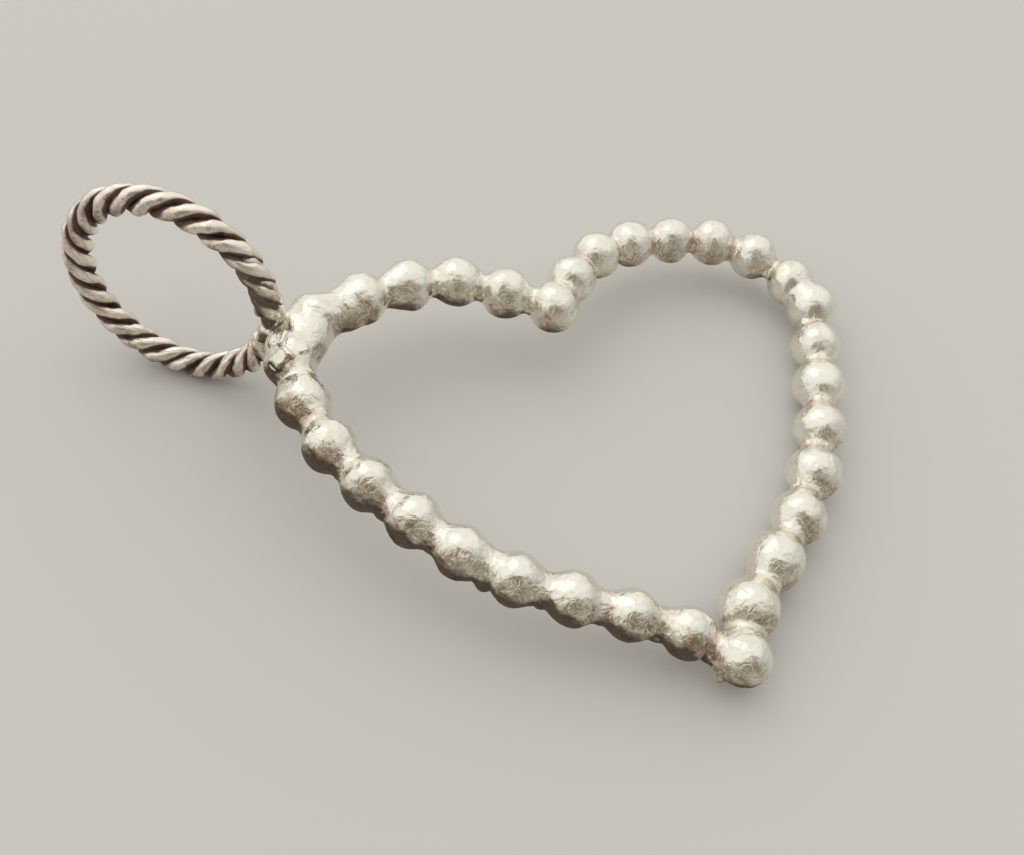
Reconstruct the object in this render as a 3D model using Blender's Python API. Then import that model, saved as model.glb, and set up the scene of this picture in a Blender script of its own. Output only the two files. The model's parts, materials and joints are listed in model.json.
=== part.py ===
"""Heart pendant: an open heart of small silver balls with a twisted-wire ring to hang it by.

The balls are soldered one to the next in a closed loop. The ring is three wires twisted together,
bent round and soldered into the valley between two balls on the outer shoulder of the left lobe,
where it stands square to the heart. Every joint is rigid.

The pendant lies as it does on a table: on the ring's lowest point and on the balls of the far
flank, so the heart leans up towards the ring. +Z is up, +Y runs from the heart to the ring, X is
the ring's axis, and the origin is the middle of the footprint, on the table.
"""

import math

import bmesh
import bpy
from mathutils import Matrix, Vector
from mathutils.geometry import interpolate_bezier

MM = 0.001

# The heart's outline runs through the middles of its balls. The width and the height are those of
# that outline. Each point is (to the right, up) from the middle of the tip ball, seen from the
# front, as shares of the two. The halves differ, as a hand-made heart's do.
HEART_WIDTH = 30.5 * MM
HEART_HEIGHT = 25.2 * MM
TIP = (0.0, 0.0)
NOTCH = (0.010, 0.857)

LEFT_LOBE_RISE = (-0.151, 0.988)
LEFT_LOBE_TOP = (-0.233, 1.000)
LEFT_SHOULDER = (-0.443, 0.944)
LEFT_WIDEST = (-0.479, 0.694)
LEFT_FLANK = (-0.325, 0.345)
LEFT_FOOT = (-0.079, 0.099)

RIGHT_LOBE_TOP = (0.187, 0.980)
RIGHT_SHOULDER = (0.423, 0.917)
RIGHT_TURN = (0.511, 0.758)
RIGHT_WIDEST = (0.521, 0.702)
RIGHT_FLANK = (0.315, 0.310)
RIGHT_FOOT = (0.026, 0.060)

# Balls: fifteen down each side, between one in the notch and one at the tip.
BALLS_PER_SIDE = 15
NOTCH_BALL_DIA = 2.9 * MM
TIP_BALL_DIA = 2.65 * MM
LEFT_FIRST_BALL_DIA = 2.85 * MM
LEFT_LAST_BALL_DIA = 2.6 * MM
RIGHT_FIRST_BALL_DIA = 2.7 * MM
RIGHT_LAST_BALL_DIA = 3.0 * MM
LEFT_PITCH_GROWTH = 1.0     # last gap between middles over the first, down the side
RIGHT_PITCH_GROWTH = 1.31   # the right side's balls are crowded at the notch and spread at the tip

# Solder between the balls draws up into a round-cornered neck.
LEFT_NECK_FILLET = 0.8 * MM
RIGHT_NECK_FILLET = 0.6 * MM
SHOULDER_NECK_FILLET = 1.2 * MM   # the flooded neck that carries the ring
THINNEST_NECK_DIA = 1.1 * MM
SEAM = 0.1 * MM                   # between a neck's seat and the ball in it, and at the ring's seat

# Ring: three wires twisted like a rope, bent round with its seam in the solder.
RING_BORE_DIA = 9.1 * MM          # what a chain passes through
STRAND_NAMES = ("bail_strand_a", "bail_strand_b", "bail_strand_c")
WIRE_DIA = 0.7 * MM
STRAND_CLEARANCE = 0.08 * MM      # between the wires, where they lie along each other
TWIST_LAY = 4.0 * MM              # one full turn of the twist
RING_LEAN = math.radians(7.0)     # about the line from the heart to the ring
RING_VALLEY = 5                   # the ring sits between this ball of the left side and the next

# Solder that closes the ring and holds it to the heart.
FLOODED_LENGTH = 3.8 * MM         # stretch of the ring where solder fills the twist
WEB_WIDTH = 3.0 * MM              # along the two balls
WEB_HEIGHT = 2.5 * MM             # through the heart's thickness
WEB_DEPTH = 2.8 * MM              # from the neck out to the ring

# Facets
CURVE_STEPS = 40
BALL_SECTORS = 14
BALL_ARC_STEPS = 6
NECK_ARC_STEPS = 3
SEAT_ARC_STEPS = 2
WIRE_SIDES = 8
STEPS_PER_LAY = 12
FLOOD_SIDES = 12
FLOOD_STEPS = 6
SMOOTH_ANGLE = math.radians(40.0)
WELD = 1e-8

# Sizes that follow from those above
STRAND_OFFSET = (WIRE_DIA + STRAND_CLEARANCE) / 2 / math.sin(math.pi / len(STRAND_NAMES))
ROPE_RADIUS = STRAND_OFFSET + WIRE_DIA / 2
RING_RADIUS = RING_BORE_DIA / 2 + ROPE_RADIUS


def clear_scene():
    for item in list(bpy.data.objects):
        bpy.data.objects.remove(item, do_unlink=True)


def silver(name, colour, roughness):
    """Metal with the colour and polish of one stretch of the pendant."""
    material = bpy.data.materials.new(name)
    material.use_nodes = True
    shader = material.node_tree.nodes["Principled BSDF"]
    shader.inputs["Base Color"].default_value = (*colour, 1.0)
    shader.inputs["Metallic"].default_value = 1.0
    shader.inputs["Roughness"].default_value = roughness
    material.diffuse_color = (*colour, 1.0)
    return material


def add_empty(name, parent=None, location=(0.0, 0.0, 0.0), rotation=(0.0, 0.0, 0.0)):
    empty = bpy.data.objects.new(name, None)
    bpy.context.scene.collection.objects.link(empty)
    empty.parent = parent
    empty.location = location
    empty.rotation_euler = rotation
    return empty


def add_solid(name, shape, parent, material=None, location=(0.0, 0.0, 0.0), rotation=(0.0, 0.0, 0.0)):
    """Turn a finished bmesh into a named, smooth-shaded object."""
    bmesh.ops.recalc_face_normals(shape, faces=shape.faces)
    mesh = bpy.data.meshes.new(name)
    shape.to_mesh(mesh)
    shape.free()
    mesh.shade_smooth()
    mesh.set_sharp_from_angle(angle=SMOOTH_ANGLE)
    if material:
        mesh.materials.append(material)
    solid = bpy.data.objects.new(name, mesh)
    bpy.context.scene.collection.objects.link(solid)
    solid.parent = parent
    solid.location = location
    solid.rotation_euler = rotation
    return solid


# The outline and the row of balls


def place_in_heart(point):
    across, up = point
    return Vector((across * HEART_WIDTH, up * HEART_HEIGHT, 0.0))


def smooth_path(points):
    """A curve through the points, as a fine polyline, with no corner at any of them."""
    knots = [place_in_heart(point) for point in points]
    inner = [(after - before) / 2 for before, after in zip(knots, knots[2:])]
    first = ((knots[1] - knots[0]) * 3 - inner[0]) / 2
    last = ((knots[-1] - knots[-2]) * 3 - inner[-1]) / 2
    slopes = [first, *inner, last]
    path = [knots[0]]
    for start, end, leave, arrive in zip(knots, knots[1:], slopes, slopes[1:]):
        path += interpolate_bezier(start, start + leave / 3, end - arrive / 3, end, CURVE_STEPS)[1:]
    return path


def points_along(path, gaps):
    """Points on the path whose spacing is in proportion to the gaps, both ends left out."""
    runs = [(after - before).length for before, after in zip(path, path[1:])]
    unit = sum(runs) / sum(gaps)
    found = []
    target = 0.0
    for gap in gaps[:-1]:
        target += gap * unit
        walked = 0.0
        for start, end, run in zip(path, path[1:], runs):
            if walked + run >= target:
                found.append(start.lerp(end, (target - walked) / run))
                break
            walked += run
    return found


def side_balls(side, points, first_dia, last_dia, growth):
    """Name, middle and radius of each ball from the notch down one side to the tip."""
    spaces = BALLS_PER_SIDE + 1
    gaps = [1.0 + (growth - 1.0) * (2 * step + 1) / (2 * spaces) for step in range(spaces)]
    middles = points_along(smooth_path([NOTCH, *points, TIP]), gaps)
    balls = []
    for index, middle in enumerate(middles):
        share = index / max(1, BALLS_PER_SIDE - 1)
        radius = (first_dia + (last_dia - first_dia) * share) / 2
        balls.append((f"granule_{side}_{index + 1:02d}", middle, radius))
    return balls


def ball_chain():
    """All balls once round the heart: notch, left side, tip, right side back up to the notch."""
    left = side_balls(
        "left",
        [LEFT_LOBE_RISE, LEFT_LOBE_TOP, LEFT_SHOULDER, LEFT_WIDEST, LEFT_FLANK, LEFT_FOOT],
        LEFT_FIRST_BALL_DIA, LEFT_LAST_BALL_DIA, LEFT_PITCH_GROWTH)
    right = side_balls(
        "right",
        [RIGHT_LOBE_TOP, RIGHT_SHOULDER, RIGHT_TURN, RIGHT_WIDEST, RIGHT_FLANK, RIGHT_FOOT],
        RIGHT_FIRST_BALL_DIA, RIGHT_LAST_BALL_DIA, RIGHT_PITCH_GROWTH)
    notch = ("granule_notch", place_in_heart(NOTCH), NOTCH_BALL_DIA / 2)
    tip = ("granule_tip", place_in_heart(TIP), TIP_BALL_DIA / 2)
    return [notch, *left, tip, *reversed(right)]


def neck_fillet(index):
    """Fillet radius of the neck after this ball of the chain."""
    if index == RING_VALLEY:
        return SHOULDER_NECK_FILLET
    if index <= BALLS_PER_SIDE:
        return LEFT_NECK_FILLET
    return RIGHT_NECK_FILLET


# Balls and their necks are turned about the line to the next ball


def neck_circle(radius, next_radius, distance, fillet):
    """Middle and radius of the arc that draws a neck between two balls, touching both.

    The fillet grows where the balls stand so far apart that the neck would be too thin.
    """
    mean = (radius + next_radius) / 2
    thin = THINNEST_NECK_DIA / 2
    least = ((distance / 2) ** 2 + thin ** 2 - mean ** 2) / (2 * (mean - thin))
    fillet = max(fillet, least)
    along = (distance ** 2 + (radius + fillet) ** 2 - (next_radius + fillet) ** 2) / (2 * distance)
    out = math.sqrt((radius + fillet) ** 2 - along ** 2)
    return along, out, fillet


def arc(centre_x, centre_y, radius, start, end, steps):
    """Points on an arc in the profile's plane, both ends included."""
    points = []
    for step in range(steps + 1):
        angle = start + (end - start) * step / steps
        points.append((centre_x + radius * math.cos(angle), centre_y + radius * math.sin(angle)))
    return points


def ball_with_neck(radius, next_radius, distance, fillet):
    """Profile of a ball, its neck, and the hollow seat that the next ball lies in."""
    along, out, fillet = neck_circle(radius, next_radius, distance, fillet)
    reach = math.hypot(along - distance, out)
    seat = next_radius + SEAM
    leave = math.atan2(out, along)
    arrive = math.atan2(out, along - distance)
    cut = math.acos((fillet ** 2 + reach ** 2 - seat ** 2) / (2 * fillet * reach))
    lip = math.acos((seat ** 2 + reach ** 2 - fillet ** 2) / (2 * seat * reach))
    ball = arc(0.0, 0.0, radius, math.pi, leave, BALL_ARC_STEPS)
    neck = arc(along, out, fillet, leave - math.pi, arrive - math.pi - cut, NECK_ARC_STEPS)
    hollow = arc(distance, 0.0, seat, arrive + lip, math.pi, SEAT_ARC_STEPS)
    return ball + neck[1:] + hollow[1:]


def ball_pair(radius, next_radius, distance, fillet, growth):
    """Profile of two balls and the neck between them, all grown by the same clearance."""
    along, out, fillet = neck_circle(radius, next_radius, distance, fillet)
    leave = math.atan2(out, along)
    arrive = math.atan2(out, along - distance)
    near = arc(0.0, 0.0, radius + growth, math.pi, leave, 2 * BALL_ARC_STEPS)
    neck = arc(along, out, fillet - growth, leave - math.pi, arrive - math.pi, 2 * NECK_ARC_STEPS)
    far = arc(distance, 0.0, next_radius + growth, arrive, 0.0, 2 * BALL_ARC_STEPS)
    return near + neck[1:] + far[1:]


def turn(profile, sectors):
    """Spin a profile about X into one closed shape."""
    shape = bmesh.new()
    rim = [shape.verts.new((x, 0.0, max(y, 0.0))) for x, y in profile]
    edges = [shape.edges.new(pair) for pair in zip(rim, rim[1:])]
    bmesh.ops.spin(
        shape, geom=rim + edges, cent=(0.0, 0.0, 0.0), axis=(1.0, 0.0, 0.0),
        angle=math.tau, steps=sectors, use_merge=True)
    bmesh.ops.remove_doubles(shape, verts=shape.verts, dist=WELD)
    return shape


def bearing(start, end):
    """Direction from one middle to another, as a turn about Z."""
    return math.atan2(end.y - start.y, end.x - start.x)


def make_balls(chain, parent, material):
    for index, (name, middle, radius) in enumerate(chain):
        following, next_radius = chain[(index + 1) % len(chain)][1:]
        distance = (following - middle).length
        profile = ball_with_neck(radius, next_radius, distance, neck_fillet(index))
        add_solid(
            name, turn(profile, BALL_SECTORS), parent, material, location=middle,
            rotation=(0.0, 0.0, bearing(middle, following)))


# The ring stands over the neck between two balls of the left shoulder


def ring_seat(chain):
    """Where the ring's middle is, and which way from the heart it lies."""
    middle, radius = chain[RING_VALLEY][1:]
    following, next_radius = chain[RING_VALLEY + 1][1:]
    distance = (following - middle).length
    along, out, fillet = neck_circle(radius, next_radius, distance, SHOULDER_NECK_FILLET)
    run = (following - middle).normalized()
    outward = Vector((run.y, -run.x, 0.0))
    if outward.dot(middle - place_in_heart(TIP)) < 0.0:
        outward.negate()
    off_neck = out - fillet + SEAM + ROPE_RADIUS
    off_balls = math.sqrt(max(0.0, (max(radius, next_radius) + SEAM + ROPE_RADIUS) ** 2 - along ** 2))
    neck_middle = middle + run * along
    return neck_middle, outward, max(off_neck, off_balls) + RING_RADIUS


def make_strand(name, phase, parent, material):
    """One wire of the twist, as sections across the rope that turn as they go round the ring."""
    lay_angle = math.atan(math.tau * STRAND_OFFSET / TWIST_LAY)
    stretch = 1.0 / math.cos(lay_angle)
    half_gap = (FLOODED_LENGTH / 2 + SEAM) / RING_RADIUS
    sweep = math.tau - 2 * half_gap
    steps = max(8, round(sweep * RING_RADIUS / TWIST_LAY * STEPS_PER_LAY))
    shape = bmesh.new()
    loops = []
    for step in range(steps + 1):
        round_ring = half_gap + sweep * step / steps
        twist = phase - math.tau * round_ring * RING_RADIUS / TWIST_LAY
        towards = Vector((0.0, -math.cos(round_ring), math.sin(round_ring)))
        sideways = Vector((1.0, 0.0, 0.0))
        loop = []
        for side in range(WIRE_SIDES):
            turn_in_wire = math.tau * side / WIRE_SIDES
            off = STRAND_OFFSET + WIRE_DIA / 2 * math.cos(turn_in_wire)
            over = WIRE_DIA / 2 * stretch * math.sin(turn_in_wire)
            radial = off * math.cos(twist) - over * math.sin(twist)
            axial = off * math.sin(twist) + over * math.cos(twist)
            loop.append(shape.verts.new(towards * (RING_RADIUS + radial) + sideways * axial))
        loops.append(loop)
    for loop, after in zip(loops, loops[1:]):
        for side in range(WIRE_SIDES):
            other = (side + 1) % WIRE_SIDES
            shape.faces.new((loop[side], loop[other], after[other], after[side]))
    shape.faces.new(loops[0])
    shape.faces.new(reversed(loops[-1]))
    return add_solid(name, shape, parent, material)


def flooded_ring_stretch():
    """Plain round stretch of the ring where solder has filled the twist."""
    shape = bmesh.new()
    section = []
    for side in range(FLOOD_SIDES):
        angle = math.tau * side / FLOOD_SIDES
        spot = Vector((ROPE_RADIUS * math.cos(angle), -RING_RADIUS - ROPE_RADIUS * math.sin(angle), 0.0))
        section.append(shape.verts.new(spot))
    face = shape.faces.new(section)
    half = FLOODED_LENGTH / 2 / RING_RADIUS
    bmesh.ops.rotate(shape, verts=section, cent=(0.0, 0.0, 0.0), matrix=Matrix.Rotation(-half, 3, "X"))
    bmesh.ops.spin(
        shape, geom=[face], cent=(0.0, 0.0, 0.0), axis=(1.0, 0.0, 0.0), angle=2 * half,
        steps=FLOOD_STEPS, use_duplicate=False)
    return shape


def solder_web(depth):
    """Rounded lump of solder that fills the valley behind the ring."""
    shape = bmesh.new()
    size = Matrix.Diagonal((WEB_WIDTH / 2, WEB_DEPTH / 2, WEB_HEIGHT / 2, 1.0))
    place = Matrix.Translation((0.0, -RING_RADIUS - depth, 0.0))
    bmesh.ops.create_uvsphere(shape, u_segments=16, v_segments=10, radius=1.0, matrix=place @ size)
    return shape


def add_cutter(name, shape, parent, location=(0.0, 0.0, 0.0), rotation=(0.0, 0.0, 0.0)):
    """A helper shape for a Boolean, never part of the pendant."""
    cutter = add_solid(name, shape, parent, None, location, rotation)
    cutter.hide_render = True
    cutter.display_type = "WIRE"
    return cutter


def boolean(target, name, operation, tool):
    step = target.modifiers.new(name, "BOOLEAN")
    step.operation = operation
    step.solver = "EXACT"
    step.object = tool


def make_ring(chain, heart, wire_material, solder_material):
    neck_middle, outward, reach = ring_seat(chain)
    bail = add_empty(
        "ring_axis", heart, location=neck_middle + outward * reach,
        rotation=(0.0, RING_LEAN, math.atan2(outward.y, outward.x) - math.pi / 2))
    for index, name in enumerate(STRAND_NAMES):
        make_strand(name, math.tau * index / len(STRAND_NAMES), bail, wire_material)

    solder = add_solid("bail_solder", flooded_ring_stretch(), bail, solder_material)
    web = add_cutter("web_shape", solder_web((reach - RING_RADIUS) / 2), bail)
    middle, radius = chain[RING_VALLEY][1:]
    following, next_radius = chain[RING_VALLEY + 1][1:]
    pair = ball_pair(radius, next_radius, (following - middle).length, SHOULDER_NECK_FILLET, SEAM)
    seat = add_cutter(
        "ball_pair_shape", turn(pair, 2 * BALL_SECTORS), heart, location=middle,
        rotation=(0.0, 0.0, bearing(middle, following)))
    boolean(solder, "join web", "UNION", web)
    boolean(solder, "seat on balls", "DIFFERENCE", seat)
    return math.atan2(outward.y, outward.x)


# The pendant laid on the table


def lean_on_ring(chain, outward):
    """How far the heart tips up when the ring's lowest point and the far balls touch the table."""
    neck_middle, towards, reach = ring_seat(chain)
    ring_middle = (neck_middle + towards * reach).dot(towards)
    ring_drop = RING_RADIUS * math.cos(RING_LEAN) + ROPE_RADIUS
    tips = []
    for _, middle, radius in chain:
        span = ring_middle - middle.dot(towards)
        tips.append((ring_drop - radius) / span)
    return math.asin(min(tips))


def stand_on_origin(rest):
    """Move the pendant so the middle of its footprint is the origin and its lowest point is at 0."""
    bpy.context.view_layer.update()
    corners = []
    for item in bpy.context.scene.objects:
        if item.type == "MESH" and not item.hide_render:
            corners += [item.matrix_world @ vertex.co for vertex in item.data.vertices]
    low = Vector([min(spot[axis] for spot in corners) for axis in range(3)])
    high = Vector([max(spot[axis] for spot in corners) for axis in range(3)])
    rest.location = (-(low.x + high.x) / 2, -(low.y + high.y) / 2, -low.z)
    bpy.context.view_layer.update()


clear_scene()
ball_silver = silver("ball_silver", (0.78, 0.75, 0.69), 0.32)
wire_silver = silver("wire_silver", (0.50, 0.45, 0.41), 0.36)
solder_silver = silver("solder_silver", (0.70, 0.65, 0.59), 0.40)

balls = ball_chain()
table_rest = add_empty("table_rest")
heart_plane = add_empty("heart_plane", table_rest)
make_balls(balls, heart_plane, ball_silver)
hang_angle = make_ring(balls, heart_plane, wire_silver, solder_silver)
heart_plane.rotation_euler = (0.0, 0.0, math.pi / 2 - hang_angle)
table_rest.rotation_euler = (lean_on_ring(balls, hang_angle), 0.0, 0.0)
stand_on_origin(table_rest)
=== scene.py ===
"""Looks of the heart pendant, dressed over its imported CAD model.

An open heart of thirty-two soldered silver granules, with a ring of twisted wire soldered to the
outer shoulder of one lobe. It lies on a pale table and is seen from above, from the heart's side.
"""

import json
import math
import random

import bpy
import numpy as np
from mathutils import Matrix, Vector

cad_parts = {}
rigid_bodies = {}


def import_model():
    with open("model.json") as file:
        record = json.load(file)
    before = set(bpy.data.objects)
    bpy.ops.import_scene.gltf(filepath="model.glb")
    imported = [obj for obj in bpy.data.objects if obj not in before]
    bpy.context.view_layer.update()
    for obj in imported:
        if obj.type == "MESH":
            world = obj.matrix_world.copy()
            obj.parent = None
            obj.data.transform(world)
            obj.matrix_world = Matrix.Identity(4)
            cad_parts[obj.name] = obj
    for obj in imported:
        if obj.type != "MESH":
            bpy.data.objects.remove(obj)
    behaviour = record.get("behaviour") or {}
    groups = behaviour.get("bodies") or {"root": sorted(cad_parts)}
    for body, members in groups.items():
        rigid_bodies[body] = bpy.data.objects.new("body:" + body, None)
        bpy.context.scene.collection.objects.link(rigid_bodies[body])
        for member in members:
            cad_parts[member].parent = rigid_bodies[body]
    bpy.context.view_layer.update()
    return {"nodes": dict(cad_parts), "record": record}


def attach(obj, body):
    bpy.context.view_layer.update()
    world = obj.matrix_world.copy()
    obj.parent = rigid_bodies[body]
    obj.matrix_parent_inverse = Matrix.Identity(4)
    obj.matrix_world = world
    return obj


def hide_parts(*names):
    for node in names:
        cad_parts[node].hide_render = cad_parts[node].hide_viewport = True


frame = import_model()

MM = 0.001


# Granules
# Thirty-two balls of silver, each melted from a snip of wire so that it drew itself round, and
# soldered to the next in a heart-shaped row. The solder has run up both balls into a smooth neck,
# and each ball keeps small dents and a skin that wrinkled as it froze.

# Lengths are in millimetres until a finished piece is brought to metres
GRANULE_ROW = [
    "granule_notch",
    *[f"granule_left_{place:02d}" for place in range(1, 16)],
    "granule_tip",
    *[f"granule_right_{place:02d}" for place in range(15, 0, -1)],
]
SKIN_STEP = 0.05         # distance between corners of the finished skin
FUSE_REACH = 4.2         # balls further off than this don't touch each other's necks
BARE_END = 0.38          # share of a CAD granule's length, from the end with no neck, that is round
OUT_OF_ROUND = 0.035     # how much longer or shorter one axis of a ball may be
NECK_GRIP = 1.25         # how far from a neck's middle the solder's marks reach
NECK_CORE = 0.45         # how far they are at full strength
LOBE_NECK = 0.54         # neck radius as a share of the ball's
FATTER_NECKS = (         # the same for other places in the row
    (range(4, 7), 0.8),      # by the ring, where solder was run in
    (range(7, 17), 0.62),    # left flank and tip
    (range(17, 24), 0.57),   # right flank
)

chance = random.Random(29)


def corners_of(name):
    """The corners of a CAD node, in millimetres."""
    return np.array([corner.co for corner in frame["nodes"][name].data.vertices]) / MM


def ball_of(name, next_name):
    """Middle and radius of a granule, fitted to the end of its CAD node that has no neck."""
    corners = corners_of(name)
    neck_way = corners_of(next_name).mean(axis=0) - corners.mean(axis=0)
    along = corners @ (neck_way / np.linalg.norm(neck_way))
    bare = corners[along < along.min() + BARE_END * np.ptp(along)]
    rows = np.column_stack((2 * bare, np.ones(len(bare))))
    fit = np.linalg.lstsq(rows, (bare ** 2).sum(axis=1), rcond=None)[0]
    middle = Vector(fit[:3])
    return middle, math.sqrt(fit[3] + middle.length_squared)


following = GRANULE_ROW[1:] + GRANULE_ROW[:1]
balls = {name: ball_of(name, after) for name, after in zip(GRANULE_ROW, following)}

tip, notch = balls["granule_tip"][0], balls["granule_notch"][0]
widest_left, widest_right = balls["granule_left_06"][0], balls["granule_right_09"][0]
heart_front = (notch - tip).cross(widest_right - widest_left).normalized()
if heart_front.z < 0:
    heart_front.negate()
heart_middle = (widest_left + widest_right) / 2

# How stiff a drop of metal is: a stiff one keeps its shape, a runny one flows into its neighbours
STIFFEST, RUNNY, SAGGING = 10.0, 2.0, 3.0
SURFACE_LEVEL = 0.6                  # the field at which the metal's surface lies
HALF_LEVEL_ROOT = 0.5 ** (1 / 3)
TIGHTEST_SPAN = 1.04                 # below this, only the stiffest drop will do
ROUND = (1, 1, 1)

FILL_INWARD, FILL_SIZES = 0.5, (0.2, 0.34)   # solder on the inner side of every neck
SAG_SLOPES, SAG_REACHES, SAG_SIZES = (0.5, 0.9), (0.4, 0.6), (0.3, 0.42)   # and on the outer side

# Drips of solder by the granule they follow: how far they hang, how thick, where they start along
# the row from the neck's waist, and how far they lean on
DRIPS = {
    "granule_left_11": (0.95, 0.5, 0.0, 0.1),
    "granule_left_15": (1.3, 0.4, 0.3, 0.5),
}
DRIP_STEPS = 9
DRIP_FROM = 0.3                      # share of its hang at which a drip's own drops begin
DRIP_ROOT, DRIP_TAPER = 1.3, 0.8     # how thick it is at the neck, and what it loses on the way


def flow_for(name, spacing):
    """Stiffness of a drop that gives the wanted neck, for balls this many diameters apart.

    Two fields that each reach half the surface's level meet on the neck's waist.
    """
    place = GRANULE_ROW.index(name)
    neck = next((share for places, share in FATTER_NECKS if place in places), LOBE_NECK)
    span = spacing ** 2 + neck ** 2
    if span < TIGHTEST_SPAN:
        return STIFFEST
    fall = (span - 1) / (span - HALF_LEVEL_ROOT)
    return min(STIFFEST, SURFACE_LEVEL / fall ** 3)


drops = []   # all metal that melts together: middle, radius, stiffness and shares of its three axes
necks = {}   # by the granule before it: a neck's waist, and the way the row runs there
for name, after in zip(GRANULE_ROW, following):
    (middle, radius), (next_middle, next_radius) = balls[name], balls[after]
    run = next_middle - middle
    shares = [1 + chance.uniform(-OUT_OF_ROUND, OUT_OF_ROUND) for axis in range(3)]
    drops.append((middle, radius, flow_for(name, run.length / (radius + next_radius)), shares))
    necks[name] = (middle + run * radius / (radius + next_radius), run.normalized())

# The solder sagged a little on the outer side of every neck, and ran into a drip at two of them
for name, (waist, run) in necks.items():
    outward = run.cross(heart_front).normalized()
    if outward.dot(waist - heart_middle) < 0:
        outward.negate()
    drops.append((waist - outward * FILL_INWARD, chance.uniform(*FILL_SIZES), RUNNY, ROUND))
    hang = (outward - heart_front * chance.uniform(*SAG_SLOPES)).normalized()
    sag_spot = waist + hang * chance.uniform(*SAG_REACHES)
    drops.append((sag_spot, chance.uniform(*SAG_SIZES), SAGGING, ROUND))
    if name in DRIPS:
        length, thickness, start, lean = DRIPS[name]
        for share in np.linspace(DRIP_FROM, 1.0, DRIP_STEPS):
            size = thickness * (DRIP_ROOT - DRIP_TAPER * share)
            spot = waist + run * start + (hang * length + run * lean) * share
            drops.append((spot, size, RUNNY, ROUND))

hollows = []   # where the metal drew back: middle and radius
chips = []     # solder that never quite melted: middle, half sizes and turn
HOLLOW_FLOW, CHIP_FLOW = 3.5, 8.0
CHIP_EDGE = 0.15   # how far a chip's rounded skin stands off its half sizes


def melt(name, near, reach):
    """One skin over all the drops within reach of a point. It is the active object afterwards."""
    metal = bpy.data.metaballs.new(name)
    metal.resolution = metal.render_resolution = SKIN_STEP * 1
    for spot, radius, flow, shares in drops:
        if (spot - near).length < reach:
            drop = metal.elements.new(type="ELLIPSOID")
            drop.co = spot
            drop.stiffness = flow
            drop.radius = radius / math.sqrt(1 - (metal.threshold / flow) ** (1 / 3))
            drop.size_x, drop.size_y, drop.size_z = shares
    for spot, radius in hollows:
        if (spot - near).length < reach:
            hollow = metal.elements.new(type="BALL")
            hollow.co = spot
            hollow.use_negative = True
            hollow.stiffness = HOLLOW_FLOW
            hollow.radius = radius
    for spot, half_sizes, turn in chips:
        if (spot - near).length < reach:
            chip = metal.elements.new(type="CUBE")
            chip.co = spot
            chip.rotation = turn
            chip.stiffness = CHIP_FLOW
            chip.radius = CHIP_EDGE / math.sqrt(1 - (metal.threshold / chip.stiffness) ** (1 / 3))
            chip.size_x, chip.size_y, chip.size_z = half_sizes
    piece = bpy.data.objects.new(name, metal)
    bpy.context.scene.collection.objects.link(piece)
    bpy.ops.object.select_all(action="DESELECT")
    piece.select_set(True)
    bpy.context.view_layer.objects.active = piece
    bpy.ops.object.convert(target="MESH")
    return bpy.context.object


def skin_pattern(name, kind, size, depth=2):
    """A pattern in space, of the size of its features in millimetres."""
    pattern = bpy.data.textures.new(name, kind)
    pattern.noise_scale = size
    if kind == "CLOUDS":
        pattern.noise_depth = depth
    return pattern


dents = skin_pattern("dents", "CLOUDS", 1.3)
skin = skin_pattern("skin", "CLOUDS", 0.42, 3)
wrinkles = skin_pattern("wrinkles", "MUSGRAVE", 0.3)
wrinkles.musgrave_type = "RIDGED_MULTIFRACTAL"
DENT_DEPTH, SKIN_DEPTH, WRINKLE_DEPTH, SOLDER_WRINKLE_DEPTH = 0.15, 0.03, 0.008, 0.022
SOLDER_LEVELS = 8   # steps in which the solder's wrinkles fade out


def press(piece, pattern, depth, group=""):
    """Raise and sink the skin by a pattern, at most this many millimetres in all."""
    step = piece.modifiers.new(pattern.name, "DISPLACE")
    step.texture = pattern
    step.texture_coords = "LOCAL"
    step.strength = depth
    step.mid_level = 0.5
    step.vertex_group = group
    bpy.ops.object.modifier_apply(modifier=step.name)


def spots_of(piece):
    """Where a piece's corners are."""
    spots = np.empty(len(piece.data.vertices) * 3)
    piece.data.vertices.foreach_get("co", spots)
    return spots.reshape(-1, 3)


def soldered(spots):
    """1 in the middle of a neck, down to 0 on the bare ball, for each spot."""
    nearest = np.full(len(spots), np.inf)
    for waist, run in necks.values():
        nearest = np.minimum(nearest, np.linalg.norm(spots - np.array(waist), axis=1))
    share = np.clip((NECK_GRIP - nearest) / (NECK_GRIP - NECK_CORE), 0, 1)
    return share * share * (3 - 2 * share)


def frost(piece):
    """Dents, frozen skin, and wrinkles where the solder ran."""
    group = piece.vertex_groups.new(name="solder")
    shares = np.round(soldered(spots_of(piece)) * SOLDER_LEVELS) / SOLDER_LEVELS
    for level in np.unique(shares[shares > 0]):
        members = np.flatnonzero(shares == level)
        group.add(members.tolist(), float(level), "REPLACE")
    press(piece, dents, DENT_DEPTH)
    press(piece, skin, SKIN_DEPTH)
    press(piece, wrinkles, WRINKLE_DEPTH)
    press(piece, wrinkles, SOLDER_WRINKLE_DEPTH, "solder")


def saw(at, way):
    """Cut the active piece across a plane, drop what lies beyond and close the cut."""
    bpy.ops.object.mode_set(mode="EDIT")
    bpy.ops.mesh.select_all(action="SELECT")
    bpy.ops.mesh.bisect(plane_co=at, plane_no=way, use_fill=True, clear_outer=True)
    bpy.ops.mesh.select_all(action="DESELECT")
    bpy.ops.object.mode_set(mode="OBJECT")


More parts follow.
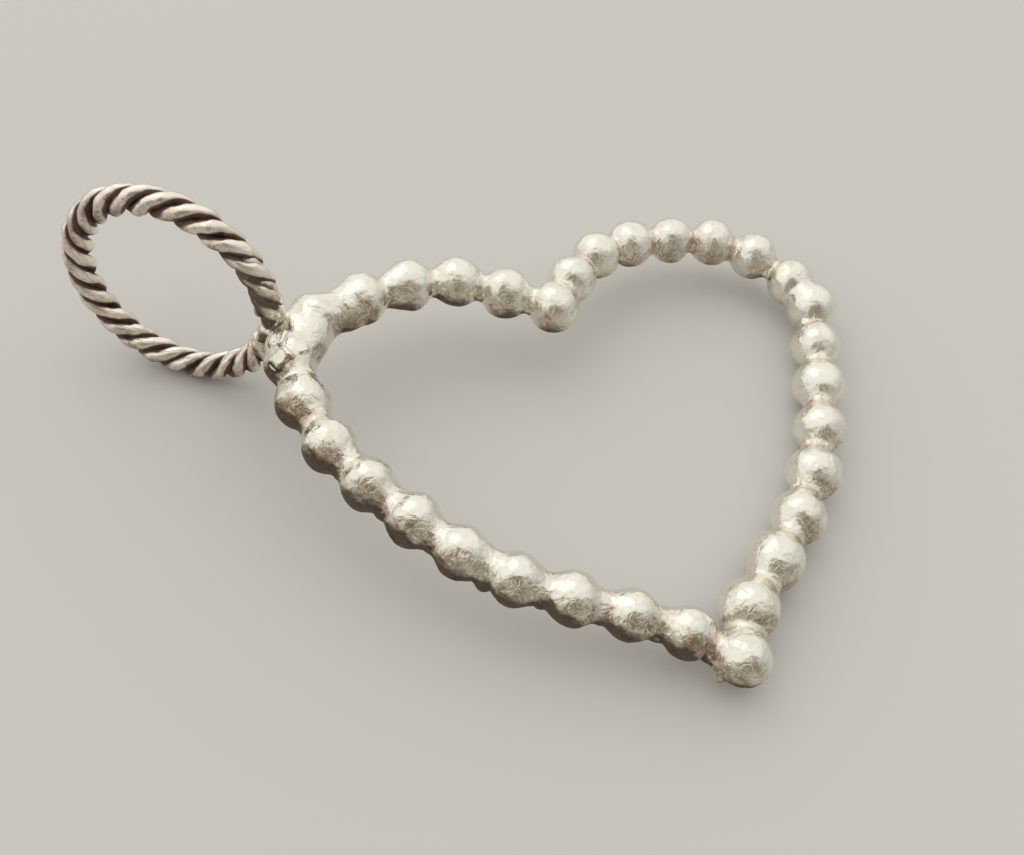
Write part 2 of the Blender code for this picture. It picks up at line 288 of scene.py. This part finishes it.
def keep_part_at(piece, spot):
    """Drop the scraps that aren't joined to the part nearest a spot."""
    nearest = int(np.linalg.norm(spots_of(piece) - np.array(spot), axis=1).argmin())
    piece.data.vertices[nearest].select = True
    bpy.ops.object.mode_set(mode="EDIT")
    bpy.ops.mesh.select_linked()
    bpy.ops.mesh.select_all(action="INVERT")
    bpy.ops.mesh.delete(type="VERT")
    bpy.ops.object.mode_set(mode="OBJECT")


def mark(piece, name, shares):
    """Keep a share for each corner, for the materials to read."""
    attribute = piece.data.attributes.new(name, "FLOAT", "POINT")
    attribute.data.foreach_set("value", np.asarray(shares, dtype=np.float32))


def bring_to_metres(piece):
    """Scale the active piece from millimetres, and smooth it except at its sharp edges."""
    piece.scale = (MM, MM, MM)
    bpy.ops.object.transform_apply(location=False, rotation=False, scale=True)
    bpy.ops.object.shade_smooth_by_angle(angle=math.radians(50))


def put(tree, kind, sockets=None, **settings):
    """Add a shader node, set its options, and set or link its sockets."""
    added = tree.nodes.new(kind)
    for option, value in settings.items():
        setattr(added, option, value)
    for socket, value in (sockets or {}).items():
        if isinstance(value, bpy.types.NodeSocket):
            tree.links.new(value, added.inputs[socket])
        else:
            added.inputs[socket].default_value = value
    return added


def mottle(tree, place, scale, detail, roughness, distortion):
    """A cloudy pattern in space, of about 0 to 1."""
    return put(tree, "ShaderNodeTexNoise", {
        "Vector": place, "Scale": scale, "Detail": detail, "Roughness": roughness,
        "Distortion": distortion}).outputs["Fac"]


def reckon(tree, operation, *values, clamped=False):
    """Work one value out of up to three, each a number or a socket."""
    return put(tree, "ShaderNodeMath", dict(enumerate(values)),
               operation=operation, use_clamp=clamped).outputs["Value"]


def grade(tree, value, start, end, low=0.0, high=1.0, soft=False):
    """Run from low to high while a value runs from start to end. Soft eases in and out."""
    return put(tree, "ShaderNodeMapRange", {
        "Value": value, "From Min": start, "From Max": end, "To Min": low, "To Max": high},
        interpolation_type="SMOOTHSTEP" if soft else "LINEAR").outputs["Result"]


def shade_over(tree, share, first, second):
    """Turn one colour into another by a share. Each is a colour or a socket."""
    return put(tree, "ShaderNodeMix", {0: share, 6: first, 7: second}, data_type="RGBA").outputs[2]


def make_tarnish_and_shade_group():
    """How silver ages in use, with painted shade, from noise and three marks that each piece
    carries.

    Shelter is high by the solder, Front is low where no hand rubs and where shade is painted, and
    Low is high where the skin faces the near side, where its straw tint is partly painted shade.
    """
    tree = bpy.data.node_groups.new("silver_tarnish_and_shade", "ShaderNodeTree")
    tree.interface.new_socket("Vector", in_out="INPUT", socket_type="NodeSocketVector")
    for name in ("Shelter", "Front", "Low"):
        tree.interface.new_socket(name, in_out="INPUT", socket_type="NodeSocketFloat")
    for name in ("TarnishAndShade", "Blush", "FilmAndShade", "Oxide", "Satin", "Height"):
        tree.interface.new_socket(name, in_out="OUTPUT", socket_type="NodeSocketFloat")
    given = put(tree, "NodeGroupInput")
    place, shelter = given.outputs["Vector"], given.outputs["Shelter"]
    patch = mottle(tree, place, scale=700.0, detail=2.0, roughness=0.5, distortion=0.6)
    bloom = mottle(tree, place, scale=420.0, detail=3.0, roughness=0.55, distortion=1.5)
    grain = mottle(tree, place, scale=4200.0, detail=2.0, roughness=0.5, distortion=0.4)
    crumple = mottle(tree, place, scale=1250.0, detail=2.5, roughness=0.55, distortion=1.6)

    # The side that the hand doesn't rub stays tarnished, up to a ragged border; that dark side is
    # partly painted shade
    border = reckon(tree, "MULTIPLY_ADD", patch, 0.5, given.outputs["Front"])
    away = grade(tree, border, 0.34, 0.02, high=0.92, soft=True)
    cloud = grade(tree, bloom, 0.5, 0.75, high=0.14)
    tarnish_and_shade = reckon(tree, "ADD", away, cloud, clamped=True)

    # A pink flush on the solder, and along the border of the darkened side
    flush = grade(tree, bloom, 0.36, 0.6, low=0.25)
    fringe = grade(tree, border, 0.6, 0.25, low=0.05, high=0.6)
    flushed = reckon(tree, "MULTIPLY_ADD", shelter, 0.7, fringe)
    blush = reckon(tree, "MULTIPLY", flush, flushed, clamped=True)

    # Low on the near side the skin froze last: it is wrinkled and tinted straw-coloured, the tint
    # partly a thin coat and partly painted shade
    low = grade(tree, given.outputs["Low"], 0.5, 0.88, soft=True)
    thick = grade(tree, bloom, 0.3, 0.62, low=0.3, high=0.95)
    film_and_shade = reckon(tree, "MULTIPLY", low, thick, clamped=True)

    # Creases wind along one level of a noise. Dirt stays in them, most of all by the solder and
    # low down, where some of the dark is painted shade, except where it was washed out
    off_crease = reckon(tree, "ABSOLUTE", reckon(tree, "SUBTRACT", crumple, 0.5))
    crease = grade(tree, off_crease, 0.0, 0.11, low=1.0, high=0.0, soft=True)
    low_down = reckon(tree, "MULTIPLY_ADD", low, 0.6, 0.03)
    kept = reckon(tree, "MULTIPLY_ADD", shelter, 0.24, low_down)
    unwashed = reckon(tree, "MULTIPLY", kept, grade(tree, bloom, 0.38, 0.58, low=0.25))
    oxide = reckon(tree, "MULTIPLY", crease, unwashed, clamped=True)

    # The grain pits the skin, and the creases sink into it, deepest low down
    satin = reckon(tree, "ADD", grain, patch)
    sunk = reckon(tree, "MULTIPLY_ADD", low, -1.3, -0.25)
    pitted = reckon(tree, "MULTIPLY", grain, 0.35)
    height = reckon(tree, "MULTIPLY_ADD", crease, sunk, pitted)
    put(tree, "NodeGroupOutput", {
        "TarnishAndShade": tarnish_and_shade, "Blush": blush, "FilmAndShade": film_and_shade,
        "Oxide": oxide, "Satin": satin, "Height": height})
    return tree


silver_tarnish_and_shade = make_tarnish_and_shade_group()


def aged_and_shaded_silver(name, bright, film_and_shade, dull, brown, blush, roughness, relief):
    """Silver that is bright where worn and dull where not, pinkish by the solder, straw-coloured
    low down, and brown in its creases; the dull side and the straw tint are partly painted shade."""
    material = bpy.data.materials.new(name)
    material.use_nodes = True
    tree = material.node_tree
    shader = tree.nodes["Principled BSDF"]
    age = put(tree, "ShaderNodeGroup", node_tree=silver_tarnish_and_shade)
    tree.links.new(put(tree, "ShaderNodeTexCoord").outputs["Object"], age.inputs["Vector"])
    for kept_mark in ("Shelter", "Front", "Low"):
        share = put(tree, "ShaderNodeAttribute", attribute_name=kept_mark.lower())
        tree.links.new(share.outputs["Fac"], age.inputs[kept_mark])
    colour = (*bright, 1)
    for effect, shade in (("Blush", blush), ("FilmAndShade", film_and_shade), ("TarnishAndShade", dull), ("Oxide", brown)):
        colour = shade_over(tree, age.outputs[effect], colour, (*shade, 1))
    satin = grade(tree, age.outputs["Satin"], 0.7, 1.3, *roughness)
    rough = reckon(tree, "MULTIPLY_ADD", age.outputs["TarnishAndShade"], 0.4, satin)
    metal = reckon(tree, "MULTIPLY_ADD", age.outputs["TarnishAndShade"], -0.9, 1.0)
    bump = put(tree, "ShaderNodeBump", {
        "Height": age.outputs["Height"], "Distance": relief * MM, "Strength": 1.0})
    shader.inputs["Specular IOR Level"].default_value = 0.2
    tree.links.new(colour, shader.inputs["Base Color"])
    tree.links.new(rough, shader.inputs["Roughness"])
    tree.links.new(metal, shader.inputs["Metallic"])
    tree.links.new(bump.outputs["Normal"], shader.inputs["Normal"])
    return material


granule_silver = aged_and_shaded_silver(
    "granule_silver", bright=(0.9, 0.885, 0.8), film_and_shade=(0.64, 0.54, 0.41), dull=(0.05, 0.032, 0.024),
    brown=(0.17, 0.11, 0.065), blush=(0.82, 0.63, 0.54), roughness=(0.11, 0.26), relief=0.02)


# Shoulder solder
# Silver solder that was run in where the ring meets the heart. It drowns the last turns of the
# ring's twist, fills the valley between two balls of the left lobe and froze in lumps and facets.

ring = frame["record"]["mounts"][0]
ring_middle = Vector(ring["pos_m"]) / MM
ring_axis = Vector(ring["axis"]).normalized()
joint_waist, joint_run = necks["granule_left_05"]
to_heart = joint_waist - ring_middle
to_heart = (to_heart - ring_axis * to_heart.dot(ring_axis)).normalized()
ring_up = ring_axis.cross(-to_heart)
heart_out = joint_run.cross(heart_front).normalized()
if heart_out.dot(ring_middle - joint_waist) < 0:
    heart_out.negate()


def off_ring_middle(spots):
    """How far spots are from the ring's axis, and how far along it."""
    away = np.asarray(spots) - np.array(ring_middle)
    axial = away @ np.array(ring_axis)
    return np.linalg.norm(away - np.outer(axial, ring_axis), axis=1), axial


rope_span = off_ring_middle(corners_of("bail_strand_a"))[0]
RING_RADIUS = (rope_span.max() + rope_span.min()) / 2


def on_ring(round_ring, radial=0.0, axial=0.0):
    """A spot on the ring, by its way round from the joint in millimetres, upper arc first."""
    angle = round_ring / RING_RADIUS
    way = to_heart * math.cos(angle) + ring_up * math.sin(angle)
    return ring_middle + way * (RING_RADIUS + radial) + ring_axis * axial


FLOOD_UP, FLOOD_DOWN = 3.9, 2.0   # how far solder runs along the upper and the lower arc
FLOOD_STEP = 0.42
FLOOD_STRAY = 0.13                # how far its lumps stray from the rope's middle
FLOOD_SIZES, FLOOD_FLOW = (0.48, 0.64), 5.0
for step in range(round((FLOOD_UP + FLOOD_DOWN) / FLOOD_STEP) + 1):
    strays = [chance.uniform(-FLOOD_STRAY, FLOOD_STRAY) for way in ("radial", "axial")]
    spot = on_ring(step * FLOOD_STEP - FLOOD_DOWN, *strays)
    drops.append((spot, chance.uniform(*FLOOD_SIZES), FLOOD_FLOW, ROUND))


def by_joint(out, along, front):
    """A way or a spot seen from the joint: out of the heart, along its row, and off its front."""
    return heart_out * out + joint_run * along + heart_front * front


WEB = (   # where the solder pooled: out, along and front of the joint, and how big
    (0.0, 0.0, 0.0, 1.0),
    (0.9, 0.0, 0.0, 0.85),
    (0.8, 0.9, 0.0, 0.68),
    (0.8, -0.9, 0.0, 0.55),
    (0.1, 2.2, 0.1, 0.85),
    (0.1, -1.7, 0.0, 0.6),
)
for out, along, front, size in WEB:
    drops.append((joint_waist + by_joint(out, along, front), size, RUNNY, ROUND))

# It also filled the neck before the joint on the inner side, and drew back from the inner corner
CORNER_FILL, CORNER_FILL_SIZE = (-0.5, 0.0, 0.0), 0.75
CORNER_HOLLOW, CORNER_HOLLOW_SIZE = (-1.75, 1.15, 0.2), 1.2
corner_neck = necks["granule_left_04"][0]
drops.append((corner_neck + by_joint(*CORNER_FILL), CORNER_FILL_SIZE, RUNNY, ROUND))
hollows.append((joint_waist + by_joint(*CORNER_HOLLOW), CORNER_HOLLOW_SIZE))

CHIPS = (   # middle, facing and length seen from the joint, then half sizes
    ((0.8, 1.4, 1.02), (0.5, 0.05, 0.86), (0.24, -0.8, 0.3), (0.36, 0.27, 0.1)),
    ((0.2, 2.4, 1.03), (0.25, 0.45, 0.86), (-0.38, -0.77, 0.5), (0.4, 0.25, 0.1)),
    ((-0.34, 1.4, 1.07), (-0.1, 0.0, 1.0), (0.6, -0.5, 0.0), (0.3, 0.2, 0.05)),
)
for spot, facing, length, half_sizes in CHIPS:
    facing = by_joint(*facing).normalized()
    across = facing.cross(by_joint(*length)).normalized()
    turn = Matrix((across.cross(facing), across, facing)).transposed().to_quaternion()
    chips.append((joint_waist + by_joint(*spot), half_sizes, turn))

# Counted in a chip's own half sizes from its middle: how far it gleams, and where its darker ring
# lies
GLEAM_TO, CHIP_RING_AT, CHIP_RING_WIDTH = 1.3, 1.45, 0.1
CHIP_GLEAM, CHIP_RING_DARKENING = 0.8, 0.35
FAR_OFF = 9.0


def cleaned_by_chips(spots):
    """Chips stay bright, with a darker ring round each: above 0 and below 0 for each spot."""
    nearest = np.full(len(spots), FAR_OFF)
    for middle, half_sizes, turn in chips:
        off = (spots - np.array(middle)) @ np.array(turn.to_matrix())
        off = off / (np.array(half_sizes) + CHIP_EDGE)
        nearest = np.minimum(nearest, np.linalg.norm(off, axis=1))
    gleam = np.clip((GLEAM_TO - nearest) / CHIP_RING_WIDTH, 0, 1)
    return CHIP_GLEAM * gleam - CHIP_RING_DARKENING * np.exp(-((nearest - CHIP_RING_AT) / CHIP_RING_WIDTH) ** 2)


# The granules are melted and sawn apart only now, since solder and granules melt as one
SAW_OUT = 1.15            # the solder piece begins this far out from the neck it sits on
SOLDER_MIDDLE_OUT = 1.5   # and its middle is this far out


def facings_of(piece):
    """Which way the skin faces at each of a piece's corners."""
    facings = np.empty(len(piece.data.vertices) * 3)
    piece.data.vertices.foreach_get("normal", facings)
    return facings.reshape(-1, 3)


def finish_cast(piece, node_name, material):
    """Give a cast piece its silver, and put it in the CAD node's place."""
    piece.data.materials.append(material)
    bring_to_metres(piece)
    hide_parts(node_name)
    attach(piece, "root")


# The low outer side is darkened, most of all on the left flank: tarnished where nobody rubs,
# and partly painted shade
LOBE_TARNISH_AND_SHADE_WAY = Vector((-0.8, -0.17, -0.57)).normalized()
FLANK_TARNISH_AND_SHADE_WAY = Vector((-0.885, 0.2, -0.361)).normalized()
LEFT_FLANK = range(6, 16)
# The near low side: its straw tint and extra crease dirt are partly painted shade
FILM_AND_SHADE_WAY = Vector((-0.96, -0.2, 0.08)).normalized()
RUBBED_AND_LIT_TO = (   # how far round the skin stays bright, by wear and painted light, by place in the row
    (0, 0.76), (4, 0.72), (7, 0.47), (15, 0.51), (17, 0.78), (20, 0.9), (31, 0.9))
WRINKLED = (   # further round than the low side, by place in the row
    (0, -0.14), (3, -0.12), (5, 0.34), (6, 0.28), (8, 0.18), (15, 0.18), (20, 0.0), (24, -0.2),
    (31, -0.18))
NEARNESS_POWER = 8   # how soon a corner's marks turn from one granule's into the next one's

places = range(len(GRANULE_ROW))
tarnish_and_shade_ways = np.array([
    FLANK_TARNISH_AND_SHADE_WAY if place in LEFT_FLANK else LOBE_TARNISH_AND_SHADE_WAY for place in places])
rubbed_and_lit_to = np.interp(places, *zip(*RUBBED_AND_LIT_TO))
wrinkled_round = np.interp(places, *zip(*WRINKLED))


def lay_marks(piece, shelter, darkened_by=0.0, wrinkled_less=0.0):
    """Keep how sheltered, how worn and how low-facing each corner is, with painted shade in the
    last two.

    Each corner takes its marks from the granules near it, so that they run on across a cut. They
    are laid before the saw, while the skin's facings are still its own.
    """
    spots, facings = spots_of(piece), facings_of(piece)
    cleaned = cleaned_by_chips(spots)
    nearness = np.array([
        np.linalg.norm(spots - balls[name][0], axis=1) ** -NEARNESS_POWER for name in GRANULE_ROW])
    nearness /= nearness.sum(axis=0)
    # Skin facing the unworn way is darkened: tarnished where nobody rubs, and painted shade
    tarnish_and_shade_facing = (facings * (nearness.T @ tarnish_and_shade_ways)).sum(axis=1)
    wrinkled = wrinkled_round @ nearness - np.clip(cleaned, 0, 1) - wrinkled_less
    mark(piece, "shelter", shelter * (1 - np.clip(cleaned, 0, 1)))
    mark(piece, "front", rubbed_and_lit_to @ nearness - darkened_by - tarnish_and_shade_facing + cleaned)
    mark(piece, "low", facings @ np.array(FILM_AND_SHADE_WAY) + wrinkled)


before = dict(zip(following, GRANULE_ROW))
for name in GRANULE_ROW:
    middle = balls[name][0]
    piece = melt("cast_" + name, middle, FUSE_REACH)
    frost(piece)
    lay_marks(piece, soldered(spots_of(piece)))
    waist, run = necks[name]
    saw(waist, run)
    waist, run = necks[before[name]]
    saw(waist, -run)
    if name in ("granule_left_05", "granule_left_06"):
        saw(joint_waist + heart_out * SAW_OUT, heart_out)
    keep_part_at(piece, middle)
    finish_cast(piece, name, granule_silver)

shoulder_silver = aged_and_shaded_silver(
    "shoulder_silver", bright=(0.9, 0.87, 0.79), film_and_shade=(0.66, 0.56, 0.43), dull=(0.13, 0.095, 0.065),
    brown=(0.12, 0.075, 0.05), blush=(0.8, 0.6, 0.53), roughness=(0.11, 0.3), relief=0.03)
piece = melt("joint_solder", joint_waist + heart_out * SOLDER_MIDDLE_OUT, FUSE_REACH)
frost(piece)

# Away from the joint's own middle the solder takes more blush and crease dirt; there it is darker
# on the upper arc and lighter on the lower, with less straw tint
BRIGHT_MIDDLE_REACH = 0.9
off_joint = spots_of(piece) - np.array(joint_waist + heart_out)
away_from_bright_middle = np.clip(np.linalg.norm(off_joint, axis=1) - BRIGHT_MIDDLE_REACH, 0, 1)
on_upper_arc = np.clip(off_joint @ np.array(ring_up), 0, 1)
lay_marks(piece, 0.3 + 0.5 * away_from_bright_middle, away_from_bright_middle * (on_upper_arc - 0.2), 0.4 * (1 - on_upper_arc))
saw(joint_waist + heart_out * SAW_OUT, -heart_out)
keep_part_at(piece, on_ring(0, 0.5))
finish_cast(piece, "bail_solder", shoulder_silver)


# Twisted ring
# Three silver wires twisted tightly together, like a rope, and bent round a mandrel. Handling keeps
# the crests of the twist bright, and the grooves between the wires have gone dark brown. The dark
# in the grooves and on the wires' near low sides is partly painted shade, and the crests that face
# one way carry a painted highlight.

WIRE_DEPTH, WIRE_BREADTH = 0.76, 0.86   # each wire across the rope, flattened by the others
WIRE_OFFSET = 0.41
WIRE_SIDES, STEPS_PER_TURN = 30, 56
WIRE_DENT_DEPTH = 0.17
TWIST_LAY = 4.0                         # one full turn of the twist
BARE_FROM, BARE_TO = 0.9, -0.9          # where the wires end inside the solder, from the joint
GROOVE_TO, CREST_RISE = 0.5, 0.24       # where grooves end off the rope's middle, and the rise
# Crests are lighter than grooves: wear and dark patina, and painted shade in the grooves
CREST_WORN_AND_LIT, GROOVE_DULL_AND_SHADE = 1.6, 1.4
DARKER_BY_SOLDER, DARKER_BY_SOLDER_REACH = 0.45, 4.0        # the wires are darker this far from the solder on the upper arc
END_GLEAM, END_REACH = 0.3, 1.6         # they are brighter by the solder's lower end
CREST_PAINTED_HIGHLIGHT = 0.5
CREST_HIGHLIGHT_WAY = (heart_front + Vector((0.3, -0.3, 0.0))).normalized()   # crests carry a painted highlight facing this way
FRONT_WEIGHT, LOW_WEIGHT = 0.7, 0.8
ring_dents = skin_pattern("ring_dents", "CLOUDS", 0.8)

wire_silver = aged_and_shaded_silver(
    "aged_and_shaded_wire_silver", bright=(0.94, 0.89, 0.79), film_and_shade=(0.66, 0.55, 0.42),
    dull=(0.09, 0.048, 0.038), brown=(0.03, 0.018, 0.015), blush=(0.66, 0.44, 0.37),
    roughness=(0.11, 0.26), relief=0.012)


def wind_wire(name, node_name, phase):
    """One wire: an oval drawn out along a screw, then bent round the mandrel into the ring."""
    start, end = BARE_FROM - math.pi * RING_RADIUS, math.pi * RING_RADIUS + BARE_TO
    turns = (end - start) / TWIST_LAY
    bpy.ops.object.select_all(action="DESELECT")
    bpy.ops.mesh.primitive_circle_add(vertices=WIRE_SIDES, radius=0.5, location=(0, 0, 0))
    wire = bpy.context.object
    wire.name = name
    bpy.ops.object.mode_set(mode="EDIT")
    bpy.ops.mesh.select_all(action="SELECT")
    bpy.ops.transform.resize(value=(WIRE_DEPTH, WIRE_BREADTH, 1))
    bpy.ops.transform.translate(value=(WIRE_OFFSET, 0, 0))
    bpy.ops.object.mode_set(mode="OBJECT")
    wire.rotation_euler.z = phase
    bpy.ops.object.transform_apply(location=False, rotation=True, scale=False)
    screw = wire.modifiers.new("screw", "SCREW")
    screw.axis = "Z"
    screw.angle = -math.tau * turns
    screw.screw_offset = end - start
    screw.steps = screw.render_steps = round(turns * STEPS_PER_TURN)
    bpy.ops.object.modifier_apply(modifier=screw.name)
    bpy.ops.object.mode_set(mode="EDIT")
    bpy.ops.mesh.select_all(action="DESELECT")
    bpy.ops.mesh.select_non_manifold()
    bpy.ops.mesh.fill_holes(sides=0)
    bpy.ops.mesh.select_all(action="SELECT")
    bpy.ops.transform.translate(value=(0, 0, start))
    bpy.ops.mesh.normals_make_consistent(inside=False)
    bpy.ops.object.mode_set(mode="OBJECT")
    bend = wire.modifiers.new("bend", "SIMPLE_DEFORM")
    bend.deform_method = "BEND"
    bend.deform_axis = "X"
    bend.angle = (end - start) / RING_RADIUS
    bpy.ops.object.modifier_apply(modifier=bend.name)
    turned = Matrix((ring_axis, to_heart, ring_axis.cross(to_heart))).transposed().to_4x4()
    wire.matrix_world = Matrix.Translation(ring_middle - to_heart * RING_RADIUS) @ turned
    bpy.ops.object.transform_apply(location=True, rotation=True, scale=True)
    press(wire, ring_dents, WIRE_DENT_DEPTH)

    spots, facings = spots_of(wire), facings_of(wire)
    radial, axial = off_ring_middle(spots)
    off_rope = np.hypot(radial - RING_RADIUS, axial)
    crest = np.clip((off_rope - GROOVE_TO) / CREST_RISE, 0, 1)
    off_joint = np.linalg.norm(spots - np.array(on_ring(FLOOD_UP / 2)), axis=1)
    darker_by_solder = DARKER_BY_SOLDER * np.clip(1 - off_joint / DARKER_BY_SOLDER_REACH, 0, 1)
    off_lower_end = np.linalg.norm(spots - np.array(on_ring(-FLOOD_DOWN)), axis=1)
    bright_end = END_GLEAM * np.clip(END_REACH - off_lower_end / FLOOD_DOWN, 0, 1)
    # A painted highlight where the skin faces that way
    gleam = CREST_PAINTED_HIGHLIGHT * (facings @ np.array(CREST_HIGHLIGHT_WAY))
    worn_and_lit = crest * CREST_WORN_AND_LIT - GROOVE_DULL_AND_SHADE - darker_by_solder + bright_end + gleam
    mark(wire, "shelter", 1 - crest)
    mark(wire, "front", FRONT_WEIGHT * worn_and_lit)
    mark(wire, "low", LOW_WEIGHT * (facings @ np.array(FILM_AND_SHADE_WAY)))
    wire.data.materials.append(wire_silver)
    bring_to_metres(wire)
    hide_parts(node_name)
    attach(wire, "root")


wind_wire("ring_wire_a", "bail_strand_a", 0)
wind_wire("ring_wire_b", "bail_strand_b", math.tau / 3)
wind_wire("ring_wire_c", "bail_strand_c", math.tau * 2 / 3)


# Floor, lamp, studio and camera
# A pale table under one soft lamp, in a pale studio that is brightest above and behind the heart.
# On the near side the silver mirrors a brown card, with the dark body of a camera in it.

bpy.ops.object.select_all(action="DESELECT")
bpy.ops.mesh.primitive_plane_add(size=4.0, location=(0, 0, 0))
floor = bpy.context.object
floor.name = "table"
paper = bpy.data.materials.new("pale_table")
paper.use_nodes = True
paper_shader = paper.node_tree.nodes["Principled BSDF"]
paper_shader.inputs["Base Color"].default_value = (0.72, 0.71, 0.69, 1)
paper_shader.inputs["Roughness"].default_value = 0.8
floor.data.materials.append(paper)

LAMP_SPOT = Vector((0.16, 0.20, 0.33))
lamp = bpy.data.lights.new("key", "AREA")
lamp.shape = "DISK"
lamp.size = 0.3
lamp.energy = 0.08
lamp.color = (1.0, 0.985, 0.96)
lamp_holder = bpy.data.objects.new("key", lamp)
lamp_holder.location = LAMP_SPOT
lamp_holder.rotation_euler = (-LAMP_SPOT).to_track_quat("-Z", "Y").to_euler()
bpy.context.scene.collection.objects.link(lamp_holder)

BRIGHT_WAY = Vector((0.40, 0.42, 0.77)).normalized()
CARD_WAY = Vector((-0.68, -0.33, 0.655)).normalized()
BODY_WAY = Vector((-0.64, -0.14, 0.76)).normalized()
STUDIO_PALE, CARD_BROWN = (1.0, 0.98, 0.93, 1), (0.64, 0.58, 0.49, 1)
BODY_DARK = (0.17, 0.15, 0.11, 1)
world = bpy.data.worlds.new("studio")
bpy.context.scene.world = world
world.use_nodes = True
studio = world.node_tree
ways = put(studio, "ShaderNodeTexCoord").outputs["Generated"]
by_light, by_card, by_body = [
    put(studio, "ShaderNodeVectorMath", {0: ways, 1: way}, operation="DOT_PRODUCT").outputs["Value"]
    for way in (BRIGHT_WAY, CARD_WAY, BODY_WAY)]
strength = grade(studio, by_light, -0.4, 0.75, low=0.46, high=0.965, soft=True)
card = grade(studio, by_card, 0.66, 1.0)
body = grade(studio, by_body, 0.89, 0.985, high=0.6, soft=True)
wall = shade_over(studio, card, STUDIO_PALE, CARD_BROWN)
background = studio.nodes["Background"]
studio.links.new(shade_over(studio, body, wall, BODY_DARK), background.inputs["Color"])
studio.links.new(strength, background.inputs["Strength"])

camera = bpy.data.cameras.new("photo_camera")
camera.lens = 35.156
camera.sensor_width = 36.0
camera.clip_start = 0.001
camera.clip_end = 10.0
camera_holder = bpy.data.objects.new("photo_camera", camera)
camera_holder.location = Vector((-33.82, -10.03, 45.49)) * MM
camera_holder.rotation_euler = [math.radians(turn) for turn in (34.870, -3.458, -72.877)]
bpy.context.scene.collection.objects.link(camera_holder)
bpy.context.scene.camera = camera_holder
bpy.context.scene.view_settings.view_transform = "Standard"
